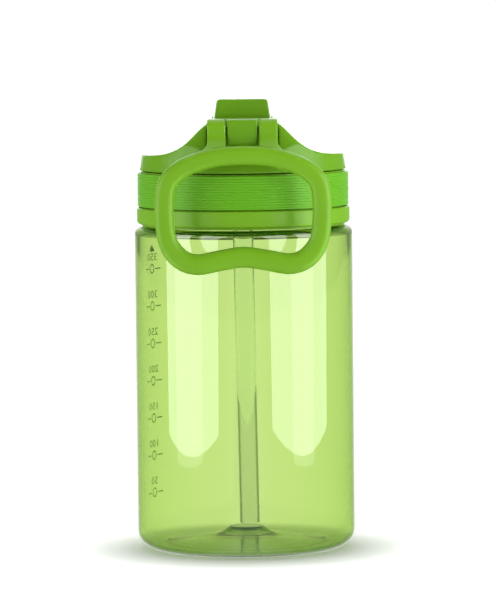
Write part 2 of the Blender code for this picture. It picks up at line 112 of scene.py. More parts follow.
def to_object(name, bm, at=(0.0, 0.0, 0.0), sharp=40):
    bmesh.ops.recalc_face_normals(bm, faces=bm.faces)
    bmesh.ops.translate(bm, vec=Vector(at), verts=bm.verts)
    bmesh.ops.scale(bm, vec=(MM, MM, MM), verts=bm.verts)
    mesh = bpy.data.meshes.new(name)
    bm.to_mesh(mesh)
    bm.free()
    mesh.shade_smooth()
    mesh.set_sharp_from_angle(angle=math.radians(sharp))
    ob = bpy.data.objects.new(name, mesh)
    bpy.context.scene.collection.objects.link(ob)
    return ob


def lathe_mesh(profile, closed, segments):
    """Turns (r, z) points about Z. An open profile starts and ends on the axis."""
    bm = bmesh.new()
    rings = []
    for r, z in profile:
        count = 1 if r < 1e-6 else segments
        ring = []
        for i in range(count):
            a = 2 * math.pi * i / segments
            ring.append(bm.verts.new((r * math.cos(a), r * math.sin(a), z)))
        rings.append(ring)
    total = len(rings)
    for k in range(total if closed else total - 1):
        low, high = rings[k], rings[(k + 1) % total]
        for i in range(segments):
            j = (i + 1) % segments
            corners = [low[i % len(low)], low[j % len(low)], high[j % len(high)], high[i % len(high)]]
            bm.faces.new(dict.fromkeys(corners))
    return bm


def lathe(name, profile, at, closed=True, segments=ROUND, sharp=40):
    return to_object(name, lathe_mesh(profile, closed, segments), at, sharp)


def on_axis(z=0.0):
    return (0.0, AXIS_Y, z)


def prism(name, outline, axis, low, high, at=(0.0, 0.0, 0.0)):
    """Extrudes an outline along X, given as (y, z), or along Y, given as (x, z)."""
    bm = bmesh.new()
    ends = []
    for level in (low, high):
        if axis == "X":
            ends.append([bm.verts.new((level, a, b)) for a, b in outline])
        else:
            ends.append([bm.verts.new((a, level, b)) for a, b in outline])
    for i in range(len(outline)):
        j = (i + 1) % len(outline)
        bm.faces.new((ends[0][i], ends[0][j], ends[1][j], ends[1][i]))
    bm.faces.new(ends[0])
    bm.faces.new(ends[1])
    return to_object(name, bm, at)


def box(name, low, high, at=(0.0, 0.0, 0.0)):
    outline = [(low[0], low[2]), (high[0], low[2]), (high[0], high[2]), (low[0], high[2])]
    return prism(name, outline, "Y", low[1], high[1], at)


def rod(name, axis, radius, low, high, at, segments=64, chamfer=0.0):
    """A cylinder along X, Y or Z, its end edges cut back by chamfer.

    It is turned by a fraction of a step, so that its edges don't meet another piece's edges exactly.
    """
    profile = [(0.0, low), (radius - chamfer, low), (radius, low + chamfer)]
    profile += [(radius, high - chamfer), (radius - chamfer, high), (0.0, high)]
    if chamfer == 0.0:
        profile = [(0.0, low), (radius, low), (radius, high), (0.0, high)]
    bm = lathe_mesh(profile, False, segments)
    bmesh.ops.rotate(bm, matrix=Matrix.Rotation(0.4 * math.pi / segments, 3, "Z"), verts=bm.verts)
    turn = {"X": Matrix.Rotation(math.pi / 2, 3, "Y"), "Y": Matrix.Rotation(-math.pi / 2, 3, "X")}
    if axis in turn:
        bmesh.ops.rotate(bm, matrix=turn[axis], verts=bm.verts)
    return to_object(name, bm, at)


def apply_modifiers(ob):
    depsgraph = bpy.context.evaluated_depsgraph_get()
    mesh = bpy.data.meshes.new_from_object(ob.evaluated_get(depsgraph))
    ob.modifiers.clear()
    old, ob.data = ob.data, mesh
    bpy.data.meshes.remove(old)


def combine(target, tools, operation):
    """Applies one exact Boolean for each tool and removes the tools."""
    for tool in tools:
        mod = target.modifiers.new("cut", "BOOLEAN")
        mod.operation = operation
        mod.solver = "EXACT"
        mod.object = tool
    apply_modifiers(target)
    for tool in tools:
        bpy.data.objects.remove(tool, do_unlink=True)
    return target


def soften(ob, voxel, passes):
    """Rebuilds a piece as one even skin and rounds its edges, as a mould does."""
    remesh = ob.modifiers.new("skin", "REMESH")
    remesh.mode = "VOXEL"
    remesh.voxel_size = voxel * MM
    smooth = ob.modifiers.new("round", "SMOOTH")
    smooth.factor = 0.5
    smooth.iterations = passes
    apply_modifiers(ob)
    ob.data.shade_smooth()


# ---------------------------------------------------------------- materials

class Nodes:
    """Short ways to add and link nodes in one material or world."""

    def __init__(self, owner):
        owner.use_nodes = True
        self.tree = owner.node_tree
        self.coords = self.tree.nodes.new("ShaderNodeTexCoord")

    def add(self, kind, **settings):
        """Adds a node. A setting is a socket's name, with _ for a space, or a property's name."""
        made = self.tree.nodes.new(kind)
        for key, value in settings.items():
            socket = key.replace("_", " ")
            if socket in made.inputs:
                made.inputs[socket].default_value = value
            else:
                setattr(made, key, value)
        return made

    def link(self, out, into):
        self.tree.links.new(out, into)

    def spread(self, value, low, high, start=0.0, end=1.0, shape="LINEAR"):
        """Maps start to end onto low to high."""
        made = self.add("ShaderNodeMapRange", interpolation_type=shape,
                        From_Min=start, From_Max=end, To_Min=low, To_Max=high)
        self.link(value, made.inputs["Value"])
        return made.outputs["Result"]

    def mix(self, factor, a, b):
        """Mixes two colours, each one an RGB triple or another node's output."""
        made = self.add("ShaderNodeMix", data_type="RGBA")
        self.link(factor, made.inputs["Factor"])
        for value, socket in ((a, made.inputs[6]), (b, made.inputs[7])):
            if hasattr(value, "links"):
                self.link(value, socket)
            else:
                socket.default_value = (*value, 1.0)
        return made.outputs[2]

    def choose(self, ray, usual, other, output):
        """Sends the usual shader to the output, and the other one to rays of one kind."""
        path = self.add("ShaderNodeLightPath")
        either = self.add("ShaderNodeMixShader")
        self.link(path.outputs[ray], either.inputs["Fac"])
        self.link(usual, either.inputs[1])
        self.link(other, either.inputs[2])
        self.link(either.outputs["Shader"], output.inputs["Surface"])


class Shader(Nodes):
    """The nodes of one material, round its Principled shader."""

    def __init__(self, name):
        self.mat = bpy.data.materials.new(name)
        super().__init__(self.mat)
        self.base = self.tree.nodes["Principled BSDF"]
        self.output = self.tree.nodes["Material Output"]

    def noise(self, scale, detail=3.0, roughness=0.55):
        made = self.add("ShaderNodeTexNoise", Scale=scale, Detail=detail, Roughness=roughness)
        self.link(self.coords.outputs["Object"], made.inputs["Vector"])
        return made.outputs["Fac"]

    def bump(self, height, strength, distance):
        made = self.add("ShaderNodeBump", Strength=strength, Distance=distance)
        self.link(height, made.inputs["Height"])
        self.link(made.outputs["Normal"], self.base.inputs["Normal"])

    def set(self, **values):
        for key, value in values.items():
            self.base.inputs[key.replace("_", " ")].default_value = value


WHITE = (1.0, 1.0, 1.0)


def moulded_plastic(name, color, light, roughness, grain):
    """Satin moulded plastic: faint flow marks, a fine spark-eroded grain, and convex edges paled partly as
    rubbed wear and partly as a painted highlight.
    """
    s = Shader(name)
    flow = s.noise(38.0, 2.0)
    tone = s.mix(s.spread(flow, 0.0, 1.0, 0.35, 0.65), tuple(c * 0.94 for c in color), color)
    geometry = s.add("ShaderNodeNewGeometry")
    # Convex edges pale towards the light colour: part rubbed wear, part painted highlight.
    wear_and_highlight_edge = s.spread(geometry.outputs["Pointiness"], 0.0, 0.4, 0.53, 0.72)
    s.link(s.mix(wear_and_highlight_edge, tone, light), s.base.inputs["Base Color"])
    rub = s.noise(160.0, 4.0)
    s.link(s.spread(rub, roughness - 0.04, roughness + 0.06, 0.3, 0.7), s.base.inputs["Roughness"])
    s.bump(s.noise(5200.0, 2.0), grain, 0.00002)
    s.set(Specular_IOR_Level=0.22, IOR=1.49)
    s.set(Subsurface_Weight=0.08, Subsurface_Radius=(0.6, 1.0, 0.15), Subsurface_Scale=0.0015)
    return s.mat


def clear_plastic(name, ior, absorb, density, roughness):
    """Clear tinted plastic whose colour deepens with its thickness, with handling smudges."""
    s = Shader(name)
    smudge = s.noise(55.0, 4.0)
    s.link(s.spread(smudge, roughness, roughness + 0.03, 0.45, 0.75), s.base.inputs["Roughness"])
    s.bump(s.noise(26.0, 1.0, 0.4), 0.012, 0.0002)
    s.set(Base_Color=(*WHITE, 1.0), IOR=ior, Transmission_Weight=1.0)
    clear = s.add("ShaderNodeBsdfTransparent", Color=(0.82, 0.83, 0.80, 1.0))
    s.choose("Is Shadow Ray", s.base.outputs["BSDF"], clear.outputs["BSDF"], s.output)
    volume = s.add("ShaderNodeVolumeAbsorption", Color=(*absorb, 1.0), Density=density)
    s.link(volume.outputs["Volume"], s.output.inputs["Volume"])
    return s.mat


def silicone(name, color, roughness):
    """Soft translucent silicone with a dusty, slightly uneven surface."""
    s = Shader(name)
    cloud = s.noise(90.0, 3.0)
    s.link(s.mix(cloud, tuple(c * 0.92 for c in color), color), s.base.inputs["Base Color"])
    s.link(s.spread(s.noise(240.0), roughness - 0.06, roughness + 0.08), s.base.inputs["Roughness"])
    s.bump(s.noise(2600.0, 2.0), 0.2, 0.00003)
    s.set(Subsurface_Weight=0.3, Subsurface_Scale=0.002)
    return s.mat


def ink(name, color):
    """Screen-printed ink, a little uneven in cover."""
    s = Shader(name)
    s.link(s.mix(s.noise(900.0), tuple(c * 0.8 for c in color), color), s.base.inputs["Base Color"])
    s.link(s.spread(s.noise(700.0), 0.45, 0.6), s.base.inputs["Roughness"])
    return s.mat


# Pale colour for the convex edges of the lid parts: rubbed wear and a painted highlight. The ring's edge
# colour below does the same.
RUBBED_AND_HIGHLIGHT = (0.28, 0.46, 0.07)
CLEAR = clear_plastic("clear_green", 1.54, (0.592, 0.785, 0.03), 505.0, 0.012)
STRAW_CLEAR = clear_plastic("straw_clear", 1.4, (0.55, 0.86, 0.4), 160.0, 0.03)
LID = moulded_plastic("lid_green", (0.115, 0.285, 0.006), RUBBED_AND_HIGHLIGHT, 0.34, 0.25)
# A paler copy of the lid green, used on the lower band and the handle: painted light for the brighter light
# those parts catch.
LIT_LID_COPY = moulded_plastic("lid_green_lit_copy", (0.145, 0.335, 0.010), RUBBED_AND_HIGHLIGHT, 0.36, 0.25)
RING = moulded_plastic("ring_green", (0.110, 0.345, 0.009), (0.2, 0.45, 0.03), 0.42, 0.02)
SOFT = silicone("silicone_white", (0.78, 0.80, 0.76), 0.5)
TIP = silicone("silicone_green", (0.34, 0.58, 0.14), 0.45)
INK = ink("scale_ink", (0.07, 0.26, 0.03))


def dress(ob, mat, body, slot, *nodes):
    """Gives a piece its material and body, and hides the CAD nodes it stands for. The slot is not used."""
    ob.data.materials.clear()
    ob.data.materials.append(mat)
    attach(ob, body)
    if nodes:
        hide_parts(*nodes)


# ---------------------------------------------------------------- bottle

THREAD_PITCH = 4.0
THREAD_TURNS = 1.25
THREAD_RUN_OUT = 30
PUNT_Z = 5.0
BOSS_Z = 7.0


def bottle_profile():
    """Outside from the foot's centre to the lip, then the inside back down to the boss."""
    inner = BODY_R - WALL
    side_z = SHOULDER_Z - SHOULDER_ROUND
    out = [(0.0, PUNT_Z), (3.6, PUNT_Z)] + arc(4.6, 4.4, 0.6, 90, 30, 4) + arc(8.4, 5.2, 1.9, 215, 265, 5)
    out += [(14.0, 2.35), (20.0, 1.42), (25.6, 0.55)] + arc(27.2, 1.6, 1.6, -110, -90, 3)
    out += [(28.6, 0.0), (29.8, 0.0)] + arc(BODY_R - FOOT_ROUND, FOOT_ROUND, FOOT_ROUND, -84, 0, 24)
    out += arc(BODY_R - SHOULDER_ROUND, side_z, SHOULDER_ROUND, 0, 90, 16)
    out += arc(NECK_R + 0.5, SHOULDER_Z + 0.5, 0.5, -90, -180, 5)
    out += arc(NECK_R - 0.6, NECK_TOP_Z - 0.6, 0.6, 0, 90, 6)
    inside = arc(NECK_BORE_R + 0.6, NECK_TOP_Z - 0.6, 0.6, 90, 180, 6)
    inside += arc(NECK_BORE_R + 0.8, SHOULDER_Z - WALL + 0.8, 0.8, 180, 270, 6)
    inside += arc(inner - 1.4, side_z - 0.4, 1.4, 90, 0, 10)
    inside += arc(BODY_R - FOOT_ROUND, FOOT_ROUND, FOOT_ROUND - WALL, 0, -80, 20)
    inside += [(26.5, 2.1), (20.0, 3.05), (14.0, 4.0), (10.6, 4.55), (9.3, 4.85), (8.2, 5.3)]
    inside += [(7.2, 5.95), (6.4, 6.5)] + arc(5.3, BOSS_Z - 0.8, 0.8, 45, 90, 4)
    inside += [(3.0, BOSS_Z), (0.0, BOSS_Z)]
    return out + inside


def helix_ridge(name, wall_r, crest_r, start_z):
    """A thread's ridge, rooted just inside the wall and run out at both ends."""
    bm = bmesh.new()
    steps = int(ROUND * THREAD_TURNS)
    sign = 1 if crest_r > wall_r else -1
    root = wall_r - 0.05 * sign
    half_root, half_crest = 0.85, 0.45
    rings = []
    for i in range(steps + 1):
        a = 2 * math.pi * (i + 0.4) / ROUND
        z = start_z + THREAD_PITCH * i / ROUND
        rise = min(1.0, i / THREAD_RUN_OUT, (steps - i) / THREAD_RUN_OUT)
        tip = wall_r - 0.02 * sign + (crest_r - wall_r) * rise
        section = [(root, -half_root), (tip, -half_crest), (tip, half_crest), (root, half_root)]
        rings.append([bm.verts.new((r * math.cos(a), r * math.sin(a), z + dz)) for r, dz in section])
    for ring, after in zip(rings, rings[1:]):
        for k in range(4):
            m = (k + 1) % 4
            bm.faces.new((ring[k], ring[m], after[m], after[k]))
    bm.faces.new(rings[0])
    bm.faces.new(rings[-1])
    return to_object(name, bm, on_axis(), 50)


def make_bottle():
    shell = lathe("bottle_shell", bottle_profile(), on_axis(), closed=False, sharp=50)
    dress(shell, CLEAR, "bottle", "clear_green", "bottle_body")
    ridge = helix_ridge("neck_thread", NECK_R, NECK_R + 1.1, 115.0)
    dress(ridge, CLEAR, "bottle", "clear_green")


# ---------------------------------------------------------------- printed volume scale

SCALE_ANGLE = math.radians(90.0 + 63.8)
MARK_COUNT = 7
MARK_VOLUME = 50
MARK_STEP = 12.94
FIRST_MARK_Z = 16.8
INK_THICKNESS = 0.06
INK_OFF_WALL = 0.02
MARK_OUTER_R, MARK_INNER_R = 1.7, 1.25
DASH_NEAR, DASH_FAR, DASH_HALF = 2.5, 6.1, 0.19
NUMERAL_SIZE, NUMERAL_RISE, NUMERAL_WIDEN = 3.6, 2.9, 1.4
ARROW_RISE, ARROW_HALF, ARROW_HEIGHT = 6.0, 2.1, 2.4


def wrap_print(name, bm):
    """Lays flat art, x along the wall and y up, on the bottle's outside."""
    for v in bm.verts:
        a = SCALE_ANGLE + v.co.x / BODY_R
        r = BODY_R + INK_OFF_WALL + v.co.z
        height = v.co.y
        v.co = Vector((r * math.cos(a), AXIS_Y + r * math.sin(a), height))
    dress(to_object(name, bm), INK, "bottle", "clear_green")


def flat_art(outlines):
    """Thin solids from outlines, each a list of (x, y)."""
    bm = bmesh.new()
    for points in outlines:
        face = bm.faces.new([bm.verts.new((x, y, 0.0)) for x, y in points])
        extruded = bmesh.ops.extrude_face_region(bm, geom=[face], use_keep_orig=True)
        lifted = [v for v in extruded["geom"] if isinstance(v, bmesh.types.BMVert)]
        bmesh.ops.translate(bm, vec=(0, 0, INK_THICKNESS), verts=lifted)
    return bm


def ring_art(cy, steps=40):
    """A thin flat ring about x = 0 as quads."""
    bm = bmesh.new()
    top = INK_THICKNESS
    loops = []
    for radius, z in ((MARK_OUTER_R, 0.0), (MARK_OUTER_R, top), (MARK_INNER_R, top), (MARK_INNER_R, 0.0)):
        loop = []
        for i in range(steps):
            a = 2 * math.pi * i / steps
            loop.append(bm.verts.new((radius * math.cos(a), cy + radius * math.sin(a), z)))
        loops.append(loop)
    for k in range(4):
        for i in range(steps):
            j = (i + 1) % steps
            m = (k + 1) % 4
            bm.faces.new((loops[k][i], loops[k][j], loops[m][j], loops[m][i]))
    return bm


def numeral_art(words, cy):
    """Numerals from the built-in font, centred on x = 0 with their base line at cy."""
    curve = bpy.data.curves.new("numerals", "FONT")
    curve.body = words
    curve.size = NUMERAL_SIZE
    curve.align_x = "CENTER"
    curve.resolution_u = 6
    curve.extrude = INK_THICKNESS / 2
    curve.space_character = 1.1
    ob = bpy.data.objects.new("numerals", curve)
    bpy.context.scene.collection.objects.link(ob)
    mesh = bpy.data.meshes.new_from_object(ob.evaluated_get(bpy.context.evaluated_depsgraph_get()))
    bm = bmesh.new()
    bm.from_mesh(mesh)
    bmesh.ops.remove_doubles(bm, verts=bm.verts, dist=0.001)
    bmesh.ops.scale(bm, vec=(NUMERAL_WIDEN, 1.0, 1.0), verts=bm.verts)
    bmesh.ops.translate(bm, vec=(0, cy, INK_THICKNESS / 2), verts=bm.verts)
    bpy.data.objects.remove(ob, do_unlink=True)
    return bm


def make_scale():
    for i in range(MARK_COUNT):
        z = FIRST_MARK_Z + MARK_STEP * i
        low, high = z - DASH_HALF, z + DASH_HALF
        volume = MARK_VOLUME * (i + 1)
        wrap_print(f"scale_ring_{volume}", ring_art(z))
        dashes = []
        for side in (-1, 1):
            x0, x1 = sorted((side * DASH_NEAR, side * DASH_FAR))
            dashes.append([(x0, low), (x1, low), (x1, high), (x0, high)])
        wrap_print(f"scale_dashes_{volume}", flat_art(dashes))
        wrap_print(f"scale_number_{volume}", numeral_art(str(volume), z + NUMERAL_RISE))
    top = FIRST_MARK_Z + MARK_STEP * (MARK_COUNT - 1) + ARROW_RISE
    wrap_print("scale_arrow", flat_art([[(-ARROW_HALF, top), (ARROW_HALF, top), (0.0, top + ARROW_HEIGHT)]]))


# ---------------------------------------------------------------- lid

def make_cap():
    """The lower band with its skirt and deck, a groove under the grip ring, a port and a vent."""
    deck_low = DECK_TOP_Z - 1.2
    groove_r, groove_z = 34.2, 116.2
    skirt_r = LID_BORE_R + 1.6
    profile = [(0.0, DECK_TOP_Z)] + arc(groove_r - 0.2, DECK_TOP_Z - 0.2, 0.2, 90, 0, 3)
    profile += [(groove_r, groove_z + 0.15)] + arc(groove_r + 0.15, groove_z + 0.15, 0.15, 180, 270, 2)
    profile += arc(BAND_R - 0.7, groove_z - 0.7, 0.7, 90, 0, 8)
    profile += arc(BAND_R - 1.2, SKIRT_Z + 1.2, 1.2, 0, -90, 12)
    profile += [(skirt_r, SKIRT_Z), (skirt_r, CAP_LOW.z), (LID_BORE_R + 0.4, CAP_LOW.z)]
    profile += [(LID_BORE_R, CAP_LOW.z + 0.4), (LID_BORE_R, deck_low - 0.3)]
    profile += [(LID_BORE_R - 0.3, deck_low), (0.0, deck_low)]
    ob = lathe("cap_shell", profile, on_axis(), closed=False)
    tools = []
    for name, radius, y in (("port", 3.4, SPOUT_PIVOT.y), ("vent", 1.6, AXIS_Y + 14)):
        tools.append(rod(name, "Z", radius, deck_low - 1, DECK_TOP_Z + 1, (0, y, 0)))
    combine(ob, tools, "DIFFERENCE")
    ob.data.shade_smooth()
    ob.data.set_sharp_from_angle(angle=math.radians(40))
    # The lower band takes the paler lit copy of the lid green, a painted light.
    dress(ob, LIT_LID_COPY, "lid", "lid_green", "lid_cap")
    ridge = helix_ridge("lid_thread", LID_BORE_R, LID_BORE_R - 1.0, 113.0)
    dress(ridge, LID, "lid", "lid_green")


RIB_COUNT = 13
RIB_STEPS = 8
RIB_DEPTH = 0.2
RING_BORE_R = 34.5
RING_LAND = 0.45


def make_ring():
    """The soft ring, its outside waved into ribs."""
    low, high = RING_LOW.z, RING_HIGH.z
    pitch = (high - low) / RIB_COUNT
    profile = [(RING_BORE_R, high), (RING_BORE_R, low), (RING_R - RING_LAND, low)]
    for i in range(RIB_COUNT):
        for k in range(RIB_STEPS):
            along = (k + 0.5) / RIB_STEPS
            wave = 0.5 - 0.5 * math.cos(2 * math.pi * along)
            profile.append((RING_R - RIB_DEPTH + RIB_DEPTH * wave, low + pitch * (i + along)))
    profile.append((RING_R - RING_LAND, high))
    ob = lathe("ribbed_ring", profile, on_axis(), sharp=35)
    dress(ob, RING, "lid", "ring_green", "grip_ring")


HUMP_HALF_W = 11.6
FLANK_TOP_Z = 145.1
FLARE = 8.0
HUMP_REAR = -27.5
HUMP_FRONT = 16.0
GRID_CELLS = 120
BLOCK_HALF_W = 5.1
HINGE_BORE_R = 1.6
PIN_HOLE_R = 1.9
SLOT_HALF_W = 9.9
OPEN_TOP_Z = 160.0


def dome_height(x, y):
    """Height of the lid's top at a point about the bottle's axis: a plateau with flared flanks."""
    outside = abs(x) - HUMP_HALF_W
    height = HUMP_Z - RIM_Z
    if outside > 0:
        height = (FLANK_TOP_Z - RIM_Z) * math.exp(-(outside / FLARE) ** 1.5)
    along = max((HUMP_REAR - y) * 2.6, (y - HUMP_FRONT) * 1.3, 0.0)
    return RIM_Z + height * math.exp(-(along / FLARE) ** 1.5)


def dome_block():
    """The solid under dome_height, out to a square past the rim."""
    bm = bmesh.new()
    half = 37.0
    even = [-half + 2 * half * i / GRID_CELLS for i in range(GRID_CELLS + 1)]
    edges = [side * (HUMP_HALF_W + step) for side in (-1, 1) for step in (0.0, 0.05)]
    across = sorted([x for x in even if abs(abs(x) - HUMP_HALF_W) > 0.2] + edges)
    cells = len(across) - 1
    length = [-half + 2 * half * j / cells for j in range(cells + 1)]
    grid = [[bm.verts.new((x, y, dome_height(x, y))) for y in length] for x in across]
    floor = [[bm.verts.new((x, y, DOME_LOW.z)) for y in length] for x in across]
    for i in range(cells):
        for j in range(cells):
            bm.faces.new((grid[i][j], grid[i + 1][j], grid[i + 1][j + 1], grid[i][j + 1]))
            bm.faces.new((floor[i][j], floor[i][j + 1], floor[i + 1][j + 1], floor[i + 1][j]))
    for k in range(cells):
        for a, b in (((0, k), (0, k + 1)), ((cells, k + 1), (cells, k)),
                     ((k + 1, 0), (k, 0)), ((k, cells), (k + 1, cells))):
            bm.faces.new((grid[a[0]][a[1]], grid[b[0]][b[1]], floor[b[0]][b[1]], floor[a[0]][a[1]]))
    return to_object("dome_shell", bm, on_axis())


def dome_cuts():
    """The inside, the flanks' hollows, the ears' pockets, the spout's slot and its holes."""
    inside = [(0.0, 120.0), (33.3, 120.0), (33.0, 131.0), (32.6, 131.4), (0.0, 131.4)]
    tools = [lathe("inside", inside, on_axis(), closed=False, segments=128)]
    hollow = [(12.6, 130.5), (12.6, 140.2), (14.4, 138.0), (17.6, 135.0), (22.0, 132.2), (22.0, 130.5)]
    for side in (-1, 1):
        tools.append(prism("flank", [(side * x, z) for x, z in hollow], "Y", -22.0, 14.0, on_axis()))
        near, far = sorted((side * (BLOCK_HALF_W + 0.25), side * 12.0))
        tools.append(box("ear_pocket", (near, -40.0, 134.6), (far, HUMP_REAR, OPEN_TOP_Z), on_axis()))
        near, far = sorted((side * 9.0, side * 14.0))
        tools.append(rod("pin_hole", "X", PIN_HOLE_R, near, far, SPOUT_PIVOT))
    tools.append(box("rear_hollow", (-11, -25.6, 130.5), (11, -22.2, 141.0), on_axis()))
    tools.append(box("well", (-SLOT_HALF_W, -20.4, 136.2), (SLOT_HALF_W, -1.0, OPEN_TOP_Z), on_axis()))
    tools.append(box("channel", (-SLOT_HALF_W, -1.5, 137.6), (SLOT_HALF_W, 40.0, OPEN_TOP_Z), on_axis()))
    tools.append(rod("seal_hole", "Z", 5.3, 128.0, 139.0, (0, SPOUT_PIVOT.y, 0)))
    return tools


def hinge_block():
    """The block between the handle's ears, joined to the hump's rear."""
    rear = HANDLE_PIVOT.y - 2.8
    top = HANDLE_PIVOT.z + 3.5
    hump = AXIS_Y + HUMP_REAR
    start = hump + 2.5
    block = [(start, HUMP_Z - 1.5), (start, 136.5), (rear + 0.6, 137.4), (rear, 138.2)]
    block += [(rear, top - 0.8), (rear + 0.8, top), (HANDLE_PIVOT.y + 1.2, top), (hump, HUMP_Z - 0.1)]
    return prism("hinge", block, "X", -BLOCK_HALF_W, BLOCK_HALF_W)


def make_dome():
    ob = dome_block()
    wall = [(0.0, DOME_LOW.z), (DOME_R, DOME_LOW.z), (34.2, RIM_Z), (33.6, OPEN_TOP_Z), (0.0, OPEN_TOP_Z)]
    combine(ob, [lathe("wall", wall, on_axis(), closed=False)], "INTERSECT")
    combine(ob, dome_cuts(), "DIFFERENCE")
    combine(ob, [hinge_block()], "UNION")
    combine(ob, [rod("bore", "X", HINGE_BORE_R, -8, 8, HANDLE_PIVOT)], "DIFFERENCE")
    soften(ob, 0.4, 4)
    dress(ob, LID, "lid", "lid_green", "lid_dome")


# ---------------------------------------------------------------- handle

HANDLE_LOOP = [
    (0.0, -8.2), (8.2, -8.7), (14.7, -10.2), (20.4, -12.7), (24.6, -16.6), (26.0, -21.7),
    (26.0, -30.7), (24.6, -37.6), (20.6, -42.5), (15.3, -44.2), (8.0, -43.0), (0.0, -41.9),
]
LOOP_OFFSET = -7.7
BAR_WIDTH = 6.4
BAR_DEPTH = 4.8
BAR_ROUND = 2.3
BAR_SWELL = 0.09
SWELL_START, SWELL_LENGTH = 36.0, 5.0
EAR_IN = 5.6
EAR_OUT = 11.7
EAR_R = 3.6
EAR_FOOT = -9.8
EAR_HALF_DEPTH = 2.3
EAR_SPREAD = 9.0
EAR_FILLET = (-3.6, -9.0)
EAR_STEPS = 48
PIN_R = 1.3
PIN_HALF_LENGTH = 11.5


def smooth_path(points, steps):
    """A closed Catmull-Rom curve through the points."""
    path = []
    count = len(points)
    for i in range(count):
        p0, p1, p2, p3 = (Vector(points[(i + k) % count]) for k in (-1, 0, 1, 2))
        for s in range(steps):
            t = s / steps
            b, c, d = p2 - p0, 2 * p0 - 5 * p1 + 4 * p2 - p3, 3 * p1 - p0 - 3 * p2 + p3
            path.append((2 * p1 + b * t + c * t ** 2 + d * t ** 3) / 2)
    return path


def rounded_section(width, depth, radius, steps):
    x, y = width / 2 - radius, depth / 2 - radius
    section = []
    for cx, cy, start in ((x, y, 0), (-x, y, 90), (-x, -y, 180), (x, -y, 270)):
        section += arc(cx, cy, radius, start, start + 90, steps)
    return section


def ease(t):
    """Smooth step from 0 to 1."""
    t = min(max(t, 0.0), 1.0)
    return t * t * (3 - 2 * t)


def ear_faces(z):
    """Inner and outer Y of an ear at a height, from the barrel's top to the loop's plane."""
    if z > 0:
        reach = math.sqrt(EAR_R ** 2 - z ** 2)
        return reach, -reach
    inner = EAR_R + (LOOP_OFFSET + EAR_HALF_DEPTH - EAR_R) * ease((-z - 0.6) / 7.6)
    outer = -EAR_R + (LOOP_OFFSET - EAR_HALF_DEPTH + EAR_R) * ease((-z - 1.2) / (-EAR_FOOT - 2.0))
    return inner, outer


def make_ear(side):
    """One ear, lofted from its round top down to the loop, with a fillet on its outer side."""
    levels = [EAR_R * math.sin(math.radians(a)) for a in range(80, 0, -10)]
    levels += [EAR_FOOT * i / EAR_STEPS for i in range(EAR_STEPS + 1)]
    start, end = EAR_FILLET
    bm = bmesh.new()
    rings = []
    for z in levels:
        inner, outer = ear_faces(z)
        curve = min(max((z - start) / (end - start), 0.0), 0.97)
        far = EAR_OUT + EAR_SPREAD * (1 - math.sqrt(1 - curve ** 2))
        spots = [(EAR_IN, inner), (far, inner), (far, outer), (EAR_IN, outer)]
        rings.append([bm.verts.new((side * x, y, z)) for x, y in spots])
    for ring, after in zip(rings, rings[1:]):
        for k in range(4):
            m = (k + 1) % 4
            bm.faces.new((ring[k], ring[m], after[m], after[k]))
    bm.faces.new(rings[0])
    bm.faces.new(rings[-1])
    return to_object("ear", bm, HANDLE_PIVOT)


def make_handle():
    """The loop, swept with a rounded section, with its ears and the pin they turn on."""
    left = [(-x, z) for x, z in reversed(HANDLE_LOOP[1:-1])]
    path = smooth_path(HANDLE_LOOP + left, 10)
    section = rounded_section(BAR_WIDTH, BAR_DEPTH, BAR_ROUND, 6)
    bm = bmesh.new()
    rings = []
    for i, point in enumerate(path):
        along = (path[(i + 1) % len(path)] - path[i - 1]).normalized()
        across = Vector((-along.y, along.x))
        swell = 1.0 + BAR_SWELL * ease((-point.y - SWELL_START) / SWELL_LENGTH)
        spots = [(point + across * a * swell, b) for a, b in section]
        rings.append([bm.verts.new((spot.x, LOOP_OFFSET + b, spot.y)) for spot, b in spots])
    for i, ring in enumerate(rings):
        after = rings[(i + 1) % len(rings)]
        for k in range(len(ring)):
            m = (k + 1) % len(ring)
            bm.faces.new((ring[k], ring[m], after[m], after[k]))
    ob = to_object("handle_skin", bm, HANDLE_PIVOT)
    combine(ob, [make_ear(-1), make_ear(1)], "UNION")
    combine(ob, [rod("bore", "X", HINGE_BORE_R, -14, 14, HANDLE_PIVOT)], "DIFFERENCE")
    soften(ob, 0.32, 9)
    # The handle takes the paler lit copy of the lid green, a painted light.
    dress(ob, LIT_LID_COPY, "handle", "lid_green", "handle")
    pin = rod("hinge_pin", "X", PIN_R, -PIN_HALF_LENGTH, PIN_HALF_LENGTH, HANDLE_PIVOT, chamfer=0.25)
    dress(pin, LID, "lid", "lid_green", "handle_pin")


# ---------------------------------------------------------------- spout, straw and small parts

SPOUT_HALF_W = 9.5
SPOUT_FRONT = 22.0
SPOUT_BARREL_R = 5.2
CORNER_R = 1.0
NIPPLE_R = 3.6
DRINK_BORE_R = 2.4
STUB_PIN_R = 1.6
STUB_PIN_NEAR, STUB_PIN_FAR = 6.4, 11.4
STRAW_R = 3.4
STRAW_BORE_R = 2.8
STRAW_LIP = 0.2
TIP_WIDEN = 1.45


